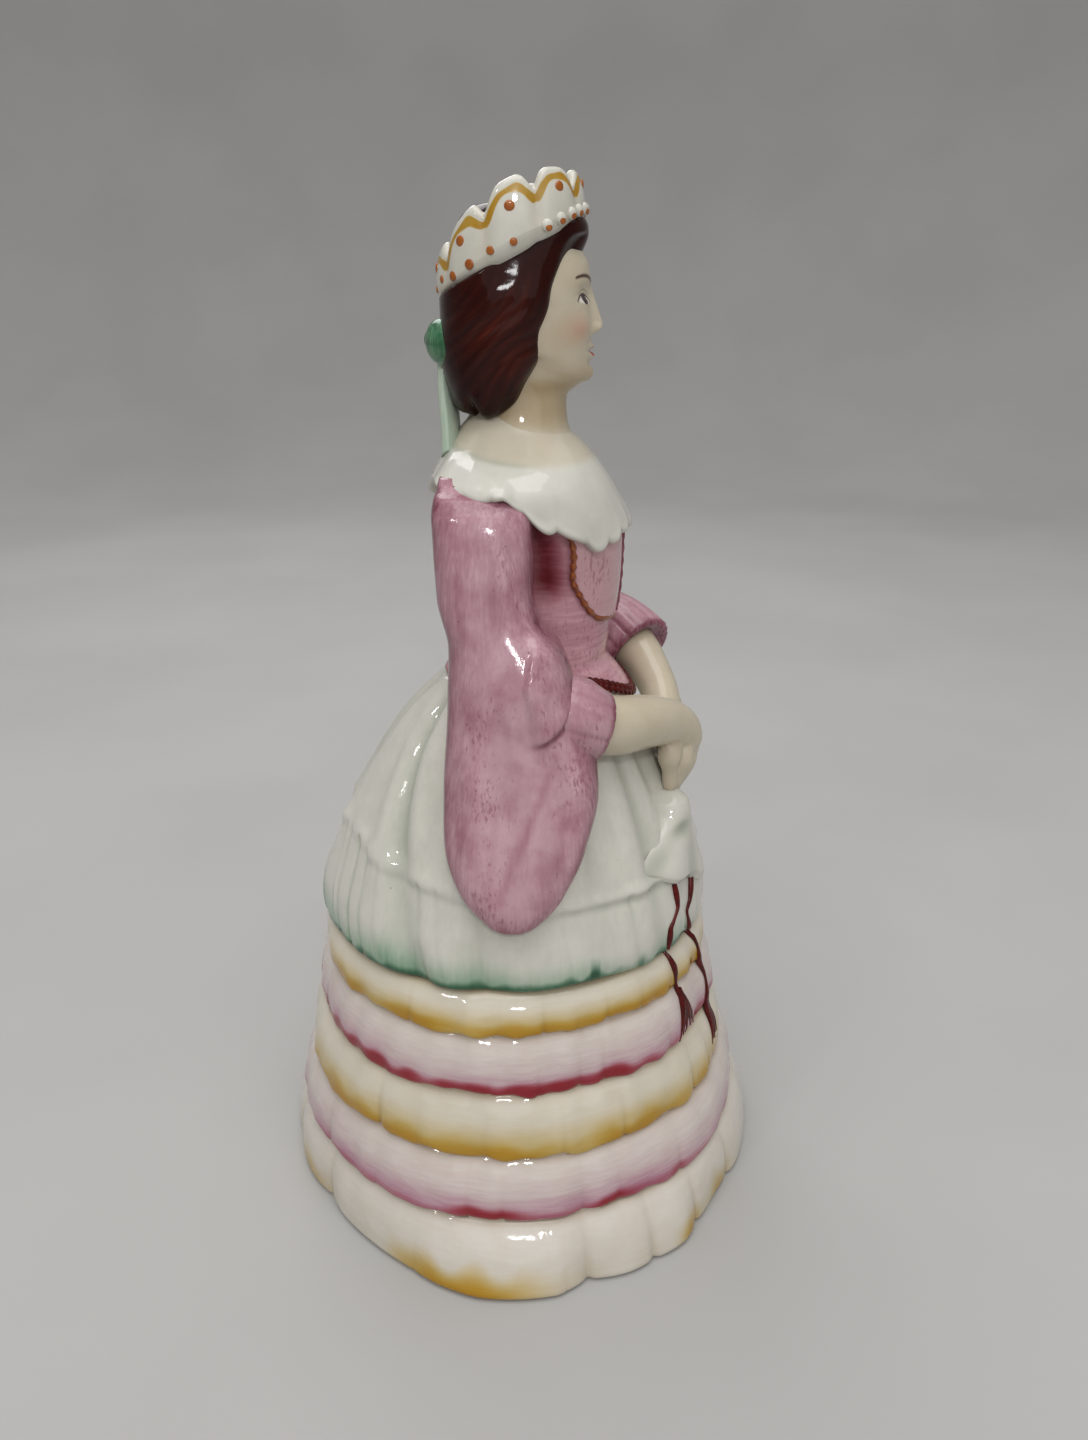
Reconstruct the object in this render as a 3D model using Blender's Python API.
"""A glazed earthenware figure of a crowned lady in a flounced crinoline.

The hollow skirts and bodice are pressed in front and back moulds.  Arms, sleeves, head, hair, coronet
and ribbons are pressed on their own and luted on with slip.
Metres, +Z up.  The lady faces -Y and her right hand is on -X.  The origin is the middle of the foot.
"""

import math

import bmesh
import bpy
from mathutils import Matrix, Vector

MM = 0.001

# Clay and joints
WALL = 4.0 * MM
SLIP_GAP = 0.3 * MM
SKIRT_FACETS = 56
OVERSKIRT_FACETS = 48
BODY_FACETS = 32
LIMB_FACETS = 12

# Glaze and enamel colours
CREAM = (0.80, 0.74, 0.66)
BISCUIT = (0.74, 0.71, 0.65)
WHITE = (0.81, 0.80, 0.76)
PINK = (0.46, 0.20, 0.27)
FLESH = (0.70, 0.61, 0.46)
BROWN = (0.035, 0.018, 0.012)
GREEN = (0.16, 0.30, 0.13)
PALE_GREEN = (0.50, 0.58, 0.40)
GLAZE_ROUGHNESS = 0.16

# Base slab that closes the skirt, set back from the foot rim
SLAB_THICKNESS = 4.0 * MM
SLAB_RECESS = 1.0 * MM
VENT_RADIUS = 4.5 * MM

# Five flounces, listed from the top one down to the one that makes the foot
FOOT_RADIUS = 60.0 * MM
FOOT_FLOUNCE_HEIGHT = 15.0 * MM
FLOUNCE_HEIGHTS = (9.5 * MM, 13.5 * MM, 14.5 * MM, 14.0 * MM, FOOT_FLOUNCE_HEIGHT)
FLOUNCE_RADII = (47.3 * MM, 49.7 * MM, 52.9 * MM, 56.2 * MM, FOOT_RADIUS)
FLOUNCE_WAVES = (0.4 * MM, 0.4 * MM, 0.5 * MM, 0.7 * MM, 1.6 * MM)
FLOUNCE_LEDGE = 2.2 * MM
FLOUNCE_BULGE = 0.9 * MM
FLOUNCE_BULGE_PLACE = 0.45
HEM_ROUNDING = 0.7 * MM
HEM_WAVE_COUNT = 12
SKIRT_SIDE_SPREAD = 3.6 * MM

# Overskirt: height above its hem, forward shift and radius at each station
OVERSKIRT_STATIONS = (
    (0.0 * MM, -1.2 * MM, 46.7 * MM),
    (4.0 * MM, -1.2 * MM, 47.1 * MM),
    (9.0 * MM, -1.2 * MM, 46.5 * MM),
    (16.0 * MM, -0.8 * MM, 44.2 * MM),
    (25.0 * MM, -0.2 * MM, 40.8 * MM),
    (35.0 * MM, 0.5 * MM, 35.8 * MM),
    (44.5 * MM, 1.0 * MM, 30.1 * MM),
    (52.0 * MM, 2.1 * MM, 24.9 * MM),
    (57.5 * MM, 3.1 * MM, 20.4 * MM),
    (60.0 * MM, 3.3 * MM, 18.3 * MM),
)
FOLD_COUNT = 12
FOLD_DEPTH = 0.6 * MM

# Seam that heads the overskirt's ruffle, higher in front: place on the seam and relief of each row
SEAM_RISE = 16.4 * MM
SEAM_TILT = 2.6 * MM
SEAM_BAND = 6.0 * MM
SEAM_RELIEF = (
    (-3.0 * MM, -0.3 * MM),
    (-1.2 * MM, 0.0 * MM),
    (0.0 * MM, 1.1 * MM),
    (1.6 * MM, 0.1 * MM),
)

# Bodice: height above the waist, forward shift, half depth and half width at each station
BODICE_STATIONS = (
    (0.0 * MM, 4.0 * MM, 16.4 * MM, 17.0 * MM),
    (9.0 * MM, 5.8 * MM, 15.6 * MM, 16.4 * MM),
    (19.0 * MM, 6.3 * MM, 16.2 * MM, 18.0 * MM),
    (28.0 * MM, 5.8 * MM, 17.0 * MM, 20.5 * MM),
    (36.0 * MM, 3.2 * MM, 18.2 * MM, 23.0 * MM),
    (42.0 * MM, 1.2 * MM, 17.0 * MM, 23.4 * MM),
    (46.5 * MM, 0.6 * MM, 14.4 * MM, 18.4 * MM),
    (50.0 * MM, 0.5 * MM, 12.2 * MM, 13.0 * MM),
)
SPIGOT_RADIUS = 7.5 * MM
SPIGOT_LENGTH = 5.0 * MM

# Bertha collar laid over the shoulders
COLLAR_THICKNESS = 2.2 * MM
COLLAR_TOP_DROP = 1.0 * MM
COLLAR_SCALLOP_COUNT = 24
COLLAR_SCALLOP_DEPTH = 1.1 * MM
# Turn from the front and drop below the neck root of the collar's edge
COLLAR_EDGE = (
    (math.radians(0.0), 16.4 * MM),
    (math.radians(30.0), 18.0 * MM),
    (math.radians(54.0), 19.6 * MM),
    (math.radians(66.0), 16.2 * MM),
    (math.radians(82.0), 13.6 * MM),
    (math.radians(92.0), 10.4 * MM),
    (math.radians(100.0), 7.2 * MM),
    (math.radians(128.0), 7.8 * MM),
    (math.radians(158.0), 7.2 * MM),
    (math.radians(180.0), 10.2 * MM),
)

# Head and neck: height above the neck root, forward shift, half depth and half width
HEAD_STATIONS = (
    (0.0 * MM, 0.5 * MM, 11.8 * MM, 12.6 * MM),
    (2.5 * MM, 1.0 * MM, 10.6 * MM, 10.8 * MM),
    (6.0 * MM, 1.8 * MM, 9.5 * MM, 9.4 * MM),
    (9.5 * MM, 2.4 * MM, 9.1 * MM, 8.9 * MM),
    (11.2 * MM, 3.6 * MM, 10.2 * MM, 9.0 * MM),
    (12.2 * MM, 3.9 * MM, 11.6 * MM, 9.5 * MM),
    (14.2 * MM, 3.3 * MM, 12.6 * MM, 10.3 * MM),
    (16.6 * MM, 2.7 * MM, 13.2 * MM, 11.0 * MM),
    (19.0 * MM, 2.2 * MM, 13.8 * MM, 11.6 * MM),
    (21.4 * MM, 1.8 * MM, 14.3 * MM, 12.1 * MM),
    (23.8 * MM, 1.8 * MM, 14.3 * MM, 12.5 * MM),
    (26.2 * MM, 2.1 * MM, 14.0 * MM, 12.8 * MM),
    (28.6 * MM, 2.4 * MM, 13.6 * MM, 12.9 * MM),
    (32.0 * MM, 2.7 * MM, 13.1 * MM, 12.5 * MM),
    (36.0 * MM, 2.7 * MM, 12.5 * MM, 11.5 * MM),
    (39.5 * MM, 1.6 * MM, 10.9 * MM, 9.8 * MM),
    (42.5 * MM, -0.2 * MM, 8.4 * MM, 7.2 * MM),
    (44.0 * MM, -0.6 * MM, 4.2 * MM, 3.8 * MM),
)
HEAD_FACETS = 24
FACE_CROWDING = 0.55
# Soft swellings of the face: height above the neck root, side, spread up, spread sideways, push forward
FACE_FORMS = (
    (22.0 * MM, 0.0 * MM, 2.2 * MM, 1.9 * MM, 2.6 * MM),
    (25.5 * MM, 0.0 * MM, 2.6 * MM, 1.6 * MM, 1.1 * MM),
    (26.0 * MM, 5.2 * MM, 2.0 * MM, 2.6 * MM, -1.0 * MM),
    (26.0 * MM, -5.2 * MM, 2.0 * MM, 2.6 * MM, -1.0 * MM),
    (17.6 * MM, 0.0 * MM, 1.6 * MM, 2.6 * MM, 0.9 * MM),
    (13.2 * MM, 0.0 * MM, 1.7 * MM, 3.2 * MM, 0.8 * MM),
)

# Hair: height above the neck root, forward shift, half depth and half width
HAIR_STATIONS = (
    (5.2 * MM, -5.4 * MM, 4.2 * MM, 6.0 * MM),
    (6.8 * MM, -5.4 * MM, 7.0 * MM, 10.6 * MM),
    (10.0 * MM, -5.0 * MM, 9.0 * MM, 13.0 * MM),
    (14.0 * MM, -4.6 * MM, 10.5 * MM, 14.4 * MM),
    (18.5 * MM, -4.0 * MM, 11.7 * MM, 15.3 * MM),
    (23.0 * MM, -3.2 * MM, 12.8 * MM, 15.8 * MM),
    (28.0 * MM, -2.2 * MM, 14.0 * MM, 15.9 * MM),
    (33.0 * MM, -1.6 * MM, 14.4 * MM, 14.8 * MM),
    (37.0 * MM, -0.8 * MM, 14.8 * MM, 13.6 * MM),
    (40.0 * MM, 0.0 * MM, 15.0 * MM, 12.4 * MM),
    (43.0 * MM, 0.4 * MM, 13.4 * MM, 11.2 * MM),
    (45.6 * MM, 0.0 * MM, 9.2 * MM, 7.6 * MM),
    (46.8 * MM, -0.4 * MM, 4.2 * MM, 3.4 * MM),
)
HAIR_FACETS = 24

# Coronet, its foot tipped back on the hair and its wall leaning less than the foot
CROWN_FORWARD = -0.6 * MM
CROWN_RISE = 36.6 * MM
CROWN_TILT = math.radians(27.0)
CROWN_LEAN = math.radians(5.0)
CROWN_HALF_DEPTH = 17.0 * MM
CROWN_HALF_WIDTH = 15.8 * MM
CROWN_FRONT_HEIGHT = 8.6 * MM
CROWN_SIDE_HEIGHT = 12.4 * MM
CROWN_BACK_HEIGHT = 7.8 * MM
CROWN_THICKNESS = 2.2 * MM
CROWN_DRAW_IN = 1.6 * MM
CROWN_LOBE_COUNT = 9
CROWN_LOBE_TURN = math.radians(40.0 / 3.0)
CROWN_LOBE_DEPTH = 2.8 * MM
CROWN_FACETS = 54
CROWN_REBATE_REACH = 6.0 * MM

# Bow at the back of the hair and its two tails
BOW_RISE = 20.3 * MM
BOW_BACK = 16.2 * MM
BOW_LOOP_HALF_WIDTH = 5.2 * MM
BOW_LOOP_HALF_DEPTH = 3.4 * MM
BOW_LOOP_HALF_HEIGHT = 4.4 * MM
BOW_LOOP_SPACING = 4.6 * MM
BOW_KNOT_RADIUS = 2.9 * MM
TAIL_HALF_WIDTH = 6.0 * MM
TAIL_TOP_HALF_WIDTH = 4.2 * MM
TAIL_HALF_DEPTH = 2.6 * MM
TAIL_TOP_BACK = 12.4 * MM
TAIL_FOOT_BACK = 12.6 * MM
TAIL_FOOT_DROP = 4.0 * MM

# Hanging sleeves: height above the waist, side, forward, half length front to back, half thickness
RIGHT_SLEEVE_STATIONS = (
    (42.6 * MM, 19.0 * MM, -6.8 * MM, 7.6 * MM, 4.6 * MM),
    (41.2 * MM, 21.0 * MM, -6.9 * MM, 9.3 * MM, 6.2 * MM),
    (37.0 * MM, 23.0 * MM, -6.4 * MM, 10.2 * MM, 7.0 * MM),
    (31.0 * MM, 24.0 * MM, -6.1 * MM, 10.2 * MM, 7.5 * MM),
    (22.0 * MM, 25.0 * MM, -5.8 * MM, 10.1 * MM, 8.5 * MM),
    (17.0 * MM, 25.8 * MM, -4.6 * MM, 10.2 * MM, 9.0 * MM),
    (12.0 * MM, 26.7 * MM, -1.9 * MM, 11.9 * MM, 9.5 * MM),
    (4.0 * MM, 28.5 * MM, -0.4 * MM, 13.6 * MM, 10.0 * MM),
    (-6.0 * MM, 31.5 * MM, 1.2 * MM, 15.6 * MM, 9.5 * MM),
    (-17.0 * MM, 35.0 * MM, 1.4 * MM, 16.2 * MM, 9.0 * MM),
    (-28.0 * MM, 39.0 * MM, 0.2 * MM, 14.8 * MM, 8.5 * MM),
    (-37.0 * MM, 42.5 * MM, -0.4 * MM, 11.0 * MM, 7.5 * MM),
    (-42.5 * MM, 44.5 * MM, -0.4 * MM, 6.0 * MM, 5.5 * MM),
    (-44.5 * MM, 45.0 * MM, -0.4 * MM, 2.4 * MM, 3.0 * MM),
)
LEFT_SLEEVE_STATIONS = (
    (42.6 * MM, 19.0 * MM, -6.8 * MM, 7.6 * MM, 4.6 * MM),
    (41.2 * MM, 21.0 * MM, -6.9 * MM, 9.3 * MM, 6.2 * MM),
    (37.0 * MM, 23.0 * MM, -6.0 * MM, 10.0 * MM, 7.0 * MM),
    (31.0 * MM, 24.0 * MM, -3.6 * MM, 11.0 * MM, 7.5 * MM),
    (22.0 * MM, 25.0 * MM, -0.5 * MM, 12.0 * MM, 8.5 * MM),
    (13.0 * MM, 26.0 * MM, 3.0 * MM, 14.0 * MM, 9.5 * MM),
    (4.0 * MM, 28.0 * MM, 5.0 * MM, 16.0 * MM, 10.0 * MM),
    (-6.0 * MM, 31.5 * MM, 5.0 * MM, 17.0 * MM, 9.5 * MM),
    (-17.0 * MM, 35.0 * MM, 4.0 * MM, 17.0 * MM, 9.0 * MM),
    (-28.0 * MM, 39.0 * MM, 2.0 * MM, 15.0 * MM, 8.5 * MM),
    (-37.0 * MM, 42.5 * MM, 0.6 * MM, 11.0 * MM, 7.5 * MM),
    (-42.5 * MM, 44.5 * MM, 0.0 * MM, 6.0 * MM, 5.5 * MM),
    (-44.5 * MM, 45.0 * MM, 0.0 * MM, 2.4 * MM, 3.0 * MM),
)
SLEEVE_FACETS = 20
SLEEVE_SEAM_TURN = math.radians(5.0)

# Arms: height above the waist, side, forward and radius along each arm
RIGHT_CUFF_PATH = (
    (0.5 * MM, -29.0 * MM, 2.0 * MM, 8.5 * MM),
    (-1.6 * MM, -29.6 * MM, 8.0 * MM, 9.2 * MM),
    (-3.4 * MM, -29.2 * MM, 13.0 * MM, 9.4 * MM),
    (-4.6 * MM, -28.2 * MM, 16.6 * MM, 10.6 * MM),
)
RIGHT_ARM_PATH = (
    (-3.5 * MM, -29.0 * MM, 13.0 * MM, 6.4 * MM),
    (-6.0 * MM, -26.5 * MM, 20.0 * MM, 6.9 * MM),
    (-7.8 * MM, -21.0 * MM, 27.5 * MM, 6.6 * MM),
    (-10.4 * MM, -13.5 * MM, 34.5 * MM, 5.0 * MM),
    (-14.0 * MM, -10.0 * MM, 37.8 * MM, 4.8 * MM),
    (-19.5 * MM, -8.4 * MM, 39.0 * MM, 4.2 * MM),
)
LEFT_CUFF_PATH = (
    (6.0 * MM, 27.0 * MM, 13.0 * MM, 8.0 * MM),
    (3.0 * MM, 24.5 * MM, 20.0 * MM, 8.4 * MM),
    (0.5 * MM, 21.5 * MM, 25.5 * MM, 8.6 * MM),
    (-1.5 * MM, 18.0 * MM, 28.0 * MM, 9.6 * MM),
)
LEFT_ARM_PATH = (
    (2.0 * MM, 23.5 * MM, 21.5 * MM, 5.8 * MM),
    (-1.5 * MM, 18.0 * MM, 28.0 * MM, 5.8 * MM),
    (-6.0 * MM, 10.0 * MM, 32.0 * MM, 5.0 * MM),
    (-10.5 * MM, 3.0 * MM, 34.0 * MM, 4.4 * MM),
    (-15.5 * MM, -2.0 * MM, 34.0 * MM, 4.2 * MM),
)
CUFF_WAVE_COUNT = 8
CUFF_WAVE_DEPTH = 0.9 * MM
FINGER_RADIUS = 1.6 * MM
FINGER_SPACING = 2.7 * MM
FINGER_LENGTHS = (9.2 * MM, 10.8 * MM, 10.2 * MM, 8.4 * MM)
FINGER_SLANT = 3.6 * MM
FINGER_ROOT_RISE = 3.0 * MM
THUMB_RADIUS = 1.8 * MM
THUMB_LENGTH = 9.0 * MM
THUMB_SPREAD = 2.5 * MM
FINGER_SETBACK = 1.0 * MM
FINGER_FACETS = 8

# Handkerchief hanging from the fingertips onto the overskirt: drop, turn, half width and half thickness
KERCHIEF_GRIP = 1.5 * MM
KERCHIEF_STATIONS = (
    (0.0 * MM, math.radians(18.0), 4.4 * MM, 3.4 * MM),
    (4.0 * MM, math.radians(21.0), 6.0 * MM, 4.2 * MM),
    (11.0 * MM, math.radians(28.0), 8.6 * MM, 3.4 * MM),
    (17.0 * MM, math.radians(34.0), 11.0 * MM, 2.8 * MM),
    (21.0 * MM, math.radians(36.0), 11.6 * MM, 2.6 * MM),
    (23.0 * MM, math.radians(36.0), 8.0 * MM, 1.8 * MM),
)
KERCHIEF_FACETS = 16

# Heights stacked from the table up
SKIRT_TOP = sum(FLOUNCE_HEIGHTS)
OVERSKIRT_HEM = SKIRT_TOP + SLIP_GAP
WAIST = OVERSKIRT_HEM + OVERSKIRT_STATIONS[-1][0]
BODICE_FOOT = WAIST + SLIP_GAP
NECK_ROOT = BODICE_FOOT + BODICE_STATIONS[-1][0]
NECK_FOOT = NECK_ROOT + SLIP_GAP
WELD = 0.001 * MM
FULL_TURN = 2.0 * math.pi


def clear_scene():
    """Start from an empty scene."""
    for old in list(bpy.data.objects):
        bpy.data.objects.remove(old, do_unlink=True)


def new_collection(name):
    """Make a collection and link it to the scene."""
    group = bpy.data.collections.new(name)
    bpy.context.scene.collection.children.link(group)
    return group


def glaze(name, colour, roughness):
    """Make the glazed finish of one piece."""
    finish = bpy.data.materials.new(name)
    finish.use_nodes = True
    shader = finish.node_tree.nodes["Principled BSDF"]
    shader.inputs["Base Color"].default_value = (*colour, 1.0)
    shader.inputs["Roughness"].default_value = roughness
    shader.inputs["Metallic"].default_value = 0.0
    return finish


def place(side, forward, height):
    """Point at a distance to the lady's left, before her and above the table."""
    return Vector((side, -forward, height))


def between(low, high, share):
    """Value part of the way from one size to another."""
    return low + (high - low) * share


def reading(stations, height):
    """Sizes of a form at a height, read between its stations."""
    rising = sorted(stations)
    if height <= rising[0][0]:
        return rising[0][1:]
    for below, above in zip(rising, rising[1:]):
        if height <= above[0]:
            share = (height - below[0]) / (above[0] - below[0])
            return tuple(between(a, b, share) for a, b in zip(below[1:], above[1:]))
    return rising[-1][1:]


def finish_mesh(work, name):
    """Weld, close and orient a working mesh and return it as an object."""
    bmesh.ops.remove_doubles(work, verts=work.verts, dist=WELD)
    rims = [edge for edge in work.edges if edge.is_boundary]
    if rims:
        bmesh.ops.holes_fill(work, edges=rims, sides=0)
    bmesh.ops.recalc_face_normals(work, faces=work.faces)
    mesh = bpy.data.meshes.new(name)
    work.to_mesh(mesh)
    work.free()
    return bpy.data.objects.new(name, mesh)


def wrap(name, facets, stations, point):
    """Wrap a grid round a form: one row for each station, closed round the turn and capped at the ends."""
    work = bmesh.new()
    rows = len(stations) - 1
    bmesh.ops.create_grid(work, x_segments=facets, y_segments=rows, size=0.5)
    for vert in work.verts:
        turn = (vert.co.x + 0.5) * FULL_TURN
        row = round((vert.co.y + 0.5) * rows)
        vert.co = point(stations[row], turn)
    return finish_mesh(work, name)


def oval_point(station, turn):
    """Point of an oval section given as height, forward shift, half depth and half width."""
    height, forward, half_depth, half_width = station
    return place(half_width * math.sin(turn), forward + half_depth * math.cos(turn), height)


def tube(name, path, facets):
    """Round limb along a path of height above the waist, side, forward and radius."""
    curve = bpy.data.curves.new(name, "CURVE")
    curve.dimensions = "3D"
    curve.bevel_depth = 1.0
    curve.bevel_resolution = max(facets // 4 - 1, 1)
    curve.resolution_u = 3
    curve.use_fill_caps = True
    spline = curve.splines.new("NURBS")
    spline.points.add(len(path) - 1)
    spline.use_endpoint_u = True
    spline.order_u = 3
    for knot, (height, side, forward, radius) in zip(spline.points, path):
        knot.co = (*place(side, forward, WAIST + height), 1.0)
        knot.radius = radius
    guide = bpy.data.objects.new(name, curve)
    bpy.context.scene.collection.objects.link(guide)
    view = bpy.context.evaluated_depsgraph_get()
    work = bmesh.new()
    work.from_mesh(guide.evaluated_get(view).to_mesh())
    bpy.data.objects.remove(guide, do_unlink=True)
    return finish_mesh(work, name)


def ball(name, centre, half_sizes, facets):
    """Pressed oval pad."""
    work = bmesh.new()
    bmesh.ops.create_uvsphere(work, u_segments=facets, v_segments=facets // 2, radius=1.0)
    bmesh.ops.transform(work, matrix=Matrix.Diagonal((*half_sizes, 1.0)), verts=work.verts)
    bmesh.ops.translate(work, vec=centre, verts=work.verts)
    return finish_mesh(work, name)


class Bench:
    """Keeps the pieces in one collection and their cutters in another."""

    def __init__(self, title):
        self.pieces = new_collection(title)
        self.cutters = new_collection("cutters")

    def keep(self, piece, colour):
        """Add a finished piece with its glaze."""
        piece.data.materials.append(glaze(piece.name + "_glaze", colour, GLAZE_ROUGHNESS))
        self.pieces.objects.link(piece)
        return piece

    def stow(self, cutter):
        """Put a cutter away out of sight."""
        cutter.hide_render = True
        cutter.display_type = "WIRE"
        self.cutters.objects.link(cutter)
        return cutter

    def swollen(self, form, gap=SLIP_GAP):
        """Copy of a form grown by the slip gap, used as a cutter for whatever is luted onto it."""
        work = bmesh.new()
        work.from_mesh(form.data)
        work.normal_update()
        moves = [vert.normal * (gap * vert.calc_shell_factor()) for vert in work.verts]
        for vert, move in zip(work.verts, moves):
            vert.co += move
        mesh = bpy.data.meshes.new(form.name + "_cutter")
        work.to_mesh(mesh)
        work.free()
        return self.stow(bpy.data.objects.new(form.name + "_cutter", mesh))

    def mitten(self, name, forms):
        """Cutter round a whole hand: the hull of its digits, grown by the slip gap."""
        work = bmesh.new()
        for form in forms:
            for vert in form.data.vertices:
                work.verts.new(vert.co)
        bmesh.ops.convex_hull(work, input=work.verts)
        bmesh.ops.delete(work, geom=[vert for vert in work.verts if not vert.link_faces])
        shape = finish_mesh(work, name)
        cutter = self.swollen(shape)
        bpy.data.objects.remove(shape, do_unlink=True)
        return cutter

    def carve(self, piece, cutters, operation="DIFFERENCE"):
        """Cut a piece by the grown copies of its carriers."""
        for cutter in cutters:
            cut = piece.modifiers.new(cutter.name, "BOOLEAN")
            cut.operation = operation
            cut.solver = "EXACT"
            cut.object = cutter
        return piece

    def halves(self, shell, names, colour):
        """Part a shell along the mould seam through its sides into a front and a back pressing."""
        for name, facing in zip(names, (-1.0, 1.0)):
            work = bmesh.new()
            work.from_mesh(shell.data)
            everything = list(work.verts) + list(work.edges) + list(work.faces)
            seam = Vector((0.0, facing * SLIP_GAP / 2.0, 0.0))
            bmesh.ops.bisect_plane(
                work, geom=everything, dist=WELD, plane_co=seam,
                plane_no=Vector((0.0, -facing, 0.0)), clear_outer=True,
            )
            self.keep(finish_mesh(work, name), colour)
        bpy.data.objects.remove(shell, do_unlink=True)


def flounce_profile():
    """Stations of the skirt wall: height, radius and hem wave, down the outside and up the inside."""
    outside = []
    inside = []
    top = SKIRT_TOP
    upper_hem = OVERSKIRT_STATIONS[0][2]
    for drop, radius, wave in zip(FLOUNCE_HEIGHTS, FLOUNCE_RADII, FLOUNCE_WAVES):
        head = upper_hem - FLOUNCE_LEDGE
        foot = top - drop
        middle = (head + radius) / 2.0 + FLOUNCE_BULGE
        outside.append((top, head, 0.0))
        outside.append((between(top, foot, FLOUNCE_BULGE_PLACE), middle, wave / 2.0))
        outside.append((foot + HEM_ROUNDING, radius, wave))
        outside.append((foot, radius - HEM_ROUNDING, wave))
        inside.append((top, head - WALL, 0.0))
        top = foot
        upper_hem = radius
    inside.append((0.0, inside[-1][1] + FLOUNCE_LEDGE, 0.0))
    return outside, inside


def skirt_point(station, turn):
    """Point of the flounced wall, drawn in and out by the hem waves."""
    height, radius, wave = station
    reach = radius + wave * math.cos(HEM_WAVE_COUNT * turn)
    return place((reach + SKIRT_SIDE_SPREAD) * math.sin(turn), reach * math.cos(turn), height)


def overskirt_rows(fold):
    """Rows of the overskirt's outside: rise above the hem, tilt, relief and fold depth."""
    rises = [station[0] for station in OVERSKIRT_STATIONS]
    plain = [(rise, 0.0, 0.0, fold) for rise in rises if abs(rise - SEAM_RISE) > SEAM_BAND]
    seam = [(SEAM_RISE + step, SEAM_TILT, relief, fold) for step, relief in SEAM_RELIEF]
    return sorted(plain + seam)


def overskirt_point(station, turn):
    """Point of the overskirt with its broad hanging folds and the seam of its ruffle."""
    rise, tilt, relief, fold = station
    height = rise + tilt * math.cos(turn)
    forward, radius = reading(OVERSKIRT_STATIONS, height)
    hem_radius = OVERSKIRT_STATIONS[0][2]
    reach = radius + relief - fold * radius / hem_radius * math.cos(FOLD_COUNT * turn)
    return place(reach * math.sin(turn), forward + reach * math.cos(turn), OVERSKIRT_HEM + height)


def lifted(stations, foot):
    """Stations moved up to stand on a given height."""
    return [(foot + station[0], *station[1:]) for station in stations]


def build_skirt(bench):
    """Base slab and the two flounced skirt halves."""
    outside, inside = flounce_profile()
    shell = wrap("skirt_shell", SKIRT_FACETS, outside + inside[::-1] + outside[:1], skirt_point)
    bench.halves(shell, ("skirt_front_half", "skirt_back_half"), CREAM)

    floor_radius = inside[-1][1] - SLIP_GAP
    slope = (inside[-1][1] - inside[-2][1]) / inside[-2][0]
    low = SLAB_RECESS
    high = SLAB_RECESS + SLAB_THICKNESS
    rows = [
        (low, VENT_RADIUS),
        (low, floor_radius - slope * high),
        (high, floor_radius - slope * high),
        (high, VENT_RADIUS),
        (low, VENT_RADIUS),
    ]

    def slab_point(station, turn):
        height, radius = station
        spread = SKIRT_SIDE_SPREAD if radius > VENT_RADIUS else 0.0
        return place((radius + spread) * math.sin(turn), radius * math.cos(turn), height)

    bench.keep(wrap("base_slab", SKIRT_FACETS, rows, slab_point), BISCUIT)


def build_overskirt(bench):
    """The two overskirt halves; returns the closed outer form."""
    outside = overskirt_rows(FOLD_DEPTH)
    inside = [(rise, 0.0, -WALL, 0.0) for rise, _, _ in OVERSKIRT_STATIONS]
    form = wrap("overskirt_form", OVERSKIRT_FACETS, outside, overskirt_point)
    shell = wrap("overskirt_shell", OVERSKIRT_FACETS, outside + inside[::-1] + outside[:1], overskirt_point)
    bench.halves(shell, ("overskirt_front_half", "overskirt_back_half"), WHITE)
    return form


def build_bodice(bench):
    """The two bodice halves with the neck socket; returns the closed outer form."""
    outside = lifted(BODICE_STATIONS, BODICE_FOOT)
    socket = SPIGOT_RADIUS + SLIP_GAP
    neck_forward = BODICE_STATIONS[-1][1]
    socket_foot = NECK_ROOT - SPIGOT_LENGTH - SLIP_GAP
    inside = [
        (height, forward, half_depth - WALL, half_width - WALL)
        for height, forward, half_depth, half_width in outside
        if height < socket_foot - WALL / 2.0
    ]
    inside.append((socket_foot, neck_forward, socket, socket))
    inside.append((NECK_ROOT, neck_forward, socket, socket))
    form = wrap("bodice_form", BODY_FACETS, outside, oval_point)
    shell = wrap("bodice_shell", BODY_FACETS, outside + inside[::-1] + outside[:1], oval_point)
    bench.halves(shell, ("bodice_front_half", "bodice_back_half"), PINK)
    return form


def collar_drop(turn):
    """How far the collar's edge hangs below the neck root at a turn round the body."""
    (drop,) = reading(COLLAR_EDGE, min(turn, FULL_TURN - turn))
    return drop + COLLAR_SCALLOP_DEPTH * abs(math.sin(COLLAR_SCALLOP_COUNT * turn / 2.0))


def collar_ring(name, grow):
    """Ring of the bertha collar over the shoulders, grown all round by a clearance."""
    body = lifted(BODICE_STATIONS, BODICE_FOOT)
    cover = COLLAR_THICKNESS + SLIP_GAP + grow

    def ring_point(station, turn):
        skin, share = station
        top = COLLAR_TOP_DROP - grow
        height = NECK_ROOT - between(top, collar_drop(turn) + 2.0 * grow, share)
        forward, half_depth, half_width = reading(body, height)
        if skin == "core":
            forward, half_depth, half_width = (value / 2.0 for value in reading(body, NECK_ROOT))
            return oval_point((height, forward, half_depth, half_width), turn)
        return oval_point((height, forward, half_depth + cover, half_width + cover), turn)

    rings = [("skin", count / 5.0) for count in range(6)]
    rings += [("core", 1.0), ("core", 0.0), ("skin", 0.0)]
    return wrap(name, 2 * COLLAR_SCALLOP_COUNT, rings, ring_point)


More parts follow.
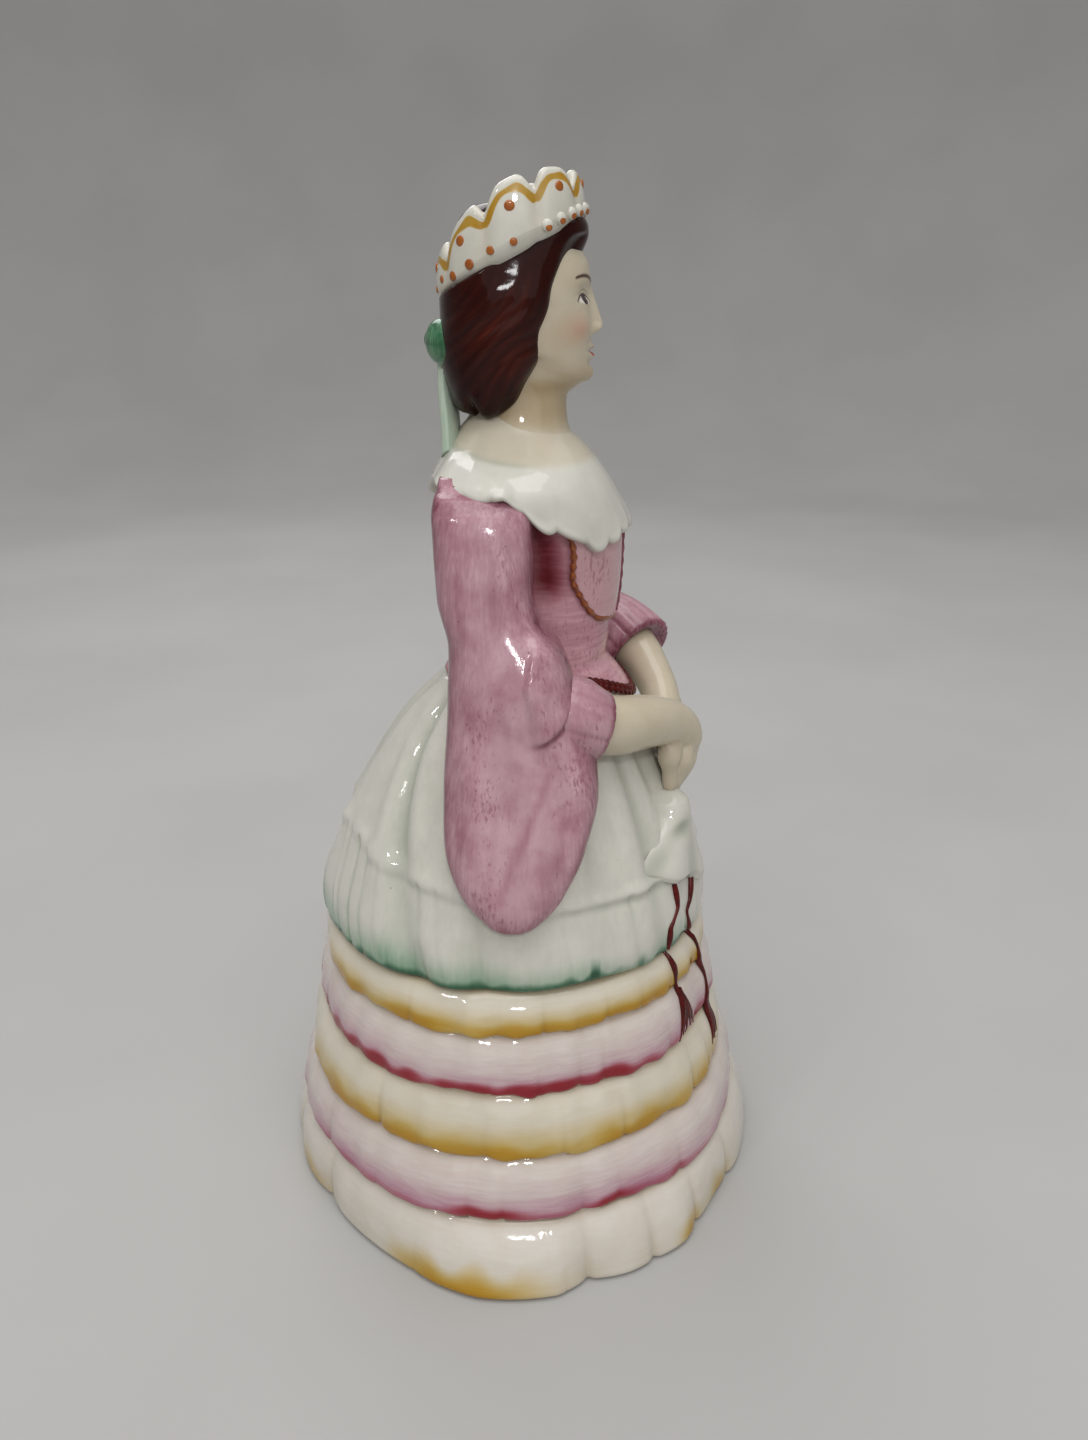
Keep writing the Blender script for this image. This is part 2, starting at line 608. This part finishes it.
def build_collar(bench, bodice_form):
    """Bertha collar over the shoulders; returns its grown ring for the pieces tucked under it."""
    collar = collar_ring("bertha_collar", 0.0)
    bench.carve(collar, [bench.swollen(bodice_form)])
    bench.keep(collar, WHITE)
    return bench.stow(collar_ring("collar_cutter", SLIP_GAP))


def head_point(station, turn):
    """Point of the head, crowded toward the face and swelled by the soft forms of the features."""
    angle = turn - FACE_CROWDING * math.sin(turn)
    height, forward, half_depth, half_width = station
    side = half_width * math.sin(angle)
    front = forward + half_depth * math.cos(angle)
    if math.cos(angle) > 0.0:
        for rise, middle, tall, wide, push in FACE_FORMS:
            up = (height - NECK_FOOT - rise) / tall
            across = (side - middle) / wide
            front += push * math.exp(-(up * up + across * across)) * math.cos(angle)
    return place(side, front, height)


def build_head(bench):
    """Head and neck with the spigot that stands in the bodice."""
    neck_forward = BODICE_STATIONS[-1][1]
    spigot = [
        (NECK_FOOT - SPIGOT_LENGTH, neck_forward, SPIGOT_RADIUS, SPIGOT_RADIUS),
        (NECK_FOOT, neck_forward, SPIGOT_RADIUS, SPIGOT_RADIUS),
    ]
    head = wrap("head", HEAD_FACETS, spigot + lifted(HEAD_STATIONS, NECK_FOOT), head_point)
    return bench.keep(head, FLESH)


def build_hair(bench, head):
    """Hair drawn down over the ears; returns it with its closed form."""
    form = wrap("hair_form", HAIR_FACETS, lifted(HAIR_STATIONS, NECK_FOOT), oval_point)
    hair = wrap("hair", HAIR_FACETS, lifted(HAIR_STATIONS, NECK_FOOT), oval_point)
    bench.carve(hair, [bench.swollen(head)])
    return bench.keep(hair, BROWN), form


def crown_height(turn):
    """Height of the coronet's lobed edge above its foot at a turn round the head."""
    ends = between(CROWN_BACK_HEIGHT, CROWN_FRONT_HEIGHT, 0.5 + 0.5 * math.cos(turn))
    body = between(ends, CROWN_SIDE_HEIGHT, math.sin(turn) ** 2)
    lobe = abs(math.sin(CROWN_LOBE_COUNT * (turn - CROWN_LOBE_TURN) / 2.0))
    return body - CROWN_LOBE_DEPTH * (1.0 - lobe)


def crown_spot(inset, rise, turn):
    """Point at an inset from the coronet's outer wall and a rise above its tipped foot."""
    ahead = (CROWN_HALF_DEPTH - inset) * math.cos(turn)
    side = (CROWN_HALF_WIDTH - inset) * math.sin(turn)
    forward = CROWN_FORWARD + ahead * math.cos(CROWN_TILT) - rise * math.sin(CROWN_LEAN)
    height = NECK_FOOT + CROWN_RISE + ahead * math.sin(CROWN_TILT) + rise * math.cos(CROWN_LEAN)
    return place(side, forward, height)


def build_crown(bench, hair):
    """Open coronet with a lobed edge, tipped back and let into a rebate round the hair."""

    def crown_point(station, turn):
        inset, share = station
        return crown_spot(CROWN_DRAW_IN * share + inset, share * crown_height(turn), turn)

    def rebate_point(station, turn):
        return crown_spot(*station, turn)

    within = CROWN_THICKNESS + SLIP_GAP
    lowest_valley = min(CROWN_FRONT_HEIGHT, CROWN_BACK_HEIGHT) - CROWN_LOBE_DEPTH
    corners = [
        (-CROWN_REBATE_REACH, -SLIP_GAP),
        (-CROWN_REBATE_REACH, CROWN_SIDE_HEIGHT),
        (within + CROWN_DRAW_IN, CROWN_SIDE_HEIGHT),
        (within + CROWN_DRAW_IN, lowest_valley),
        (within, -SLIP_GAP),
    ]
    rebate = bench.stow(wrap("coronet_rebate", CROWN_FACETS, corners + corners[:1], rebate_point))
    bench.carve(hair, [rebate])

    outside = [(0.0, 0.0), (0.0, 0.5), (0.0, 1.0)]
    inside = [(CROWN_THICKNESS, 1.0), (CROWN_THICKNESS, 0.0), (0.0, 0.0)]
    crown = wrap("coronet", CROWN_FACETS, outside + inside, crown_point)
    return bench.keep(crown, WHITE)


def build_ribbons(bench, hair_form, head, bodice_form, collar_cutter):
    """Bow at the back of the hair and the tails that fall to the collar."""
    middle = place(0.0, -BOW_BACK, NECK_FOOT + BOW_RISE)
    loop_size = (BOW_LOOP_HALF_WIDTH, BOW_LOOP_HALF_DEPTH, BOW_LOOP_HALF_HEIGHT)
    knot_size = (BOW_KNOT_RADIUS, BOW_KNOT_RADIUS, BOW_KNOT_RADIUS)
    step = Vector((BOW_LOOP_SPACING, 0.0, 0.0))
    bow = ball("bow", middle + step, loop_size, LIMB_FACETS)
    other = bench.stow(ball("bow_loop", middle - step, loop_size, LIMB_FACETS))
    knot = bench.stow(ball("bow_knot", middle, knot_size, LIMB_FACETS))
    bench.carve(bow, [other, knot], "UNION")
    hair_cutter = bench.swollen(hair_form)
    bench.carve(bow, [hair_cutter])
    bench.keep(bow, GREEN)

    rows = [0.0, 0.2, 0.4, 0.6, 0.8, 1.0]
    foot = NECK_ROOT - TAIL_FOOT_DROP
    top = middle.z - BOW_LOOP_HALF_HEIGHT - SLIP_GAP

    def tail_point(share, turn):
        back = between(TAIL_TOP_BACK, TAIL_FOOT_BACK, share)
        size = (TAIL_HALF_DEPTH, between(TAIL_TOP_HALF_WIDTH, TAIL_HALF_WIDTH, share))
        return oval_point((between(top, foot, share), -back, *size), turn)

    tails = wrap("ribbon_tails", LIMB_FACETS, rows, tail_point)
    bench.carve(tails, [hair_cutter, bench.swollen(head), bench.swollen(bodice_form), collar_cutter])
    return bench.keep(tails, PALE_GREEN)


def sleeve_form(name, stations, hand):
    """Closed form of a hanging sleeve on the lady's right (-1) or left (+1)."""

    def sleeve_point(station, turn):
        height, side, forward, half_length, half_thickness = station
        ahead = forward + half_length * math.cos(turn + SLEEVE_SEAM_TURN)
        out = side + half_thickness * math.sin(turn + SLEEVE_SEAM_TURN)
        return place(hand * out, ahead, WAIST + height)

    return wrap(name, SLEEVE_FACETS, stations, sleeve_point)


def cuff_form(name, path):
    """Frilled undersleeve along the forearm, with a waved mouth."""
    form = tube(name, path, 2 * CUFF_WAVE_COUNT)
    mouth = place(path[-1][1], path[-1][2], WAIST + path[-1][0])
    inward = place(path[-2][1], path[-2][2], WAIST + path[-2][0]) - mouth
    axis = inward.normalized()
    across = axis.cross(Vector((0.0, 0.0, 1.0))).normalized()
    upward = across.cross(axis)
    reach = inward.length
    for vert in form.data.vertices:
        arm = vert.co - mouth
        along = arm.dot(axis)
        ring = arm - axis * along
        if ring.length > WELD and along < reach:
            turn = math.atan2(ring.dot(upward), ring.dot(across))
            wave = CUFF_WAVE_DEPTH * math.cos(CUFF_WAVE_COUNT * turn) * (1.0 - max(along, 0.0) / reach)
            vert.co += ring.normalized() * wave
    return form


def build_hand(bench, arm, path, thumb_side):
    """Fingers and thumb pressed onto the end of an arm."""
    rise, side, forward, _ = path[-1]
    ahead = forward - FINGER_SETBACK
    first = side - FINGER_SPACING * (len(FINGER_LENGTHS) - 1) / 2.0
    digits = []
    for count, length in enumerate(FINGER_LENGTHS):
        across = first + count * FINGER_SPACING
        root_rise = FINGER_ROOT_RISE * length / max(FINGER_LENGTHS)
        digits.append((
            (rise + root_rise, across, ahead, FINGER_RADIUS),
            (rise - length / 2.0, across, ahead, FINGER_RADIUS),
            (rise - length, across, ahead - FINGER_SLANT, FINGER_RADIUS),
        ))
    root = path[-2]
    digits.append((
        (root[0], root[1], root[2], THUMB_RADIUS),
        (root[0] - THUMB_LENGTH / 2.0, root[1] + thumb_side, root[2], THUMB_RADIUS),
        (root[0] - THUMB_LENGTH, root[1] + thumb_side, root[2] - THUMB_RADIUS, THUMB_RADIUS),
    ))
    forms = [bench.stow(tube(arm.name + "_digit", digit, FINGER_FACETS)) for digit in digits]
    bench.carve(arm, forms, "UNION")
    return forms


def build_arms(bench, bodice_form, overskirt_form, collar_cutter):
    """Both sleeves, their frilled cuffs, the forearms with hands, and the handkerchief."""
    overskirt_cutter = bench.swollen(overskirt_form)
    body = [collar_cutter, bench.swollen(bodice_form), overskirt_cutter]

    right_sleeve = sleeve_form("right_sleeve", RIGHT_SLEEVE_STATIONS, -1.0)
    left_sleeve = sleeve_form("left_sleeve", LEFT_SLEEVE_STATIONS, 1.0)
    right_cuff = cuff_form("right_cuff", RIGHT_CUFF_PATH)
    left_cuff = cuff_form("left_cuff", LEFT_CUFF_PATH)
    right_arm = tube("right_forearm", RIGHT_ARM_PATH, LIMB_FACETS)
    left_arm = tube("left_forearm", LEFT_ARM_PATH, LIMB_FACETS)
    right_arm_cutter = bench.swollen(right_arm)
    left_arm_cutter = bench.swollen(left_arm)

    bench.keep(bench.carve(right_sleeve, body), PINK)
    bench.keep(bench.carve(left_sleeve, body), PINK)
    right_sleeve_cutter = bench.swollen(right_sleeve)
    left_sleeve_cutter = bench.swollen(left_sleeve)
    bench.keep(bench.carve(right_cuff, body + [right_sleeve_cutter, right_arm_cutter]), PINK)
    bench.keep(bench.carve(left_cuff, body + [left_sleeve_cutter, left_arm_cutter]), PINK)

    right_digits = build_hand(bench, right_arm, RIGHT_ARM_PATH, -THUMB_SPREAD)
    build_hand(bench, left_arm, LEFT_ARM_PATH, THUMB_SPREAD)
    right_hand = [right_arm_cutter, bench.mitten("right_hand", right_digits)]
    bench.carve(right_arm, body + [right_sleeve_cutter])
    bench.carve(left_arm, body + [left_sleeve_cutter] + right_hand)
    bench.keep(right_arm, FLESH)
    bench.keep(left_arm, FLESH)

    fingertips = WAIST + RIGHT_ARM_PATH[-1][0] - max(FINGER_LENGTHS)

    def kerchief_point(station, turn):
        drop, swing, half_width, half_thickness = station
        height = fingertips + KERCHIEF_GRIP - drop
        forward, radius = reading(lifted(OVERSKIRT_STATIONS, OVERSKIRT_HEM), height)
        across = half_width * math.sin(turn)
        out = radius + half_thickness * math.cos(turn)
        angle = -swing + across / radius
        return place(out * math.sin(angle), forward + out * math.cos(angle), height)

    kerchief = wrap("handkerchief", KERCHIEF_FACETS, KERCHIEF_STATIONS, kerchief_point)
    bench.carve(kerchief, [overskirt_cutter] + right_hand)
    bench.keep(kerchief, WHITE)


def main():
    """Build every piece from the table up."""
    clear_scene()
    bench = Bench("crowned_lady_figure")
    build_skirt(bench)
    overskirt_form = build_overskirt(bench)
    bodice_form = build_bodice(bench)
    collar_cutter = build_collar(bench, bodice_form)
    head = build_head(bench)
    hair, hair_form = build_hair(bench, head)
    build_crown(bench, hair)
    build_ribbons(bench, hair_form, head, bodice_form, collar_cutter)
    build_arms(bench, bodice_form, overskirt_form, collar_cutter)


main()
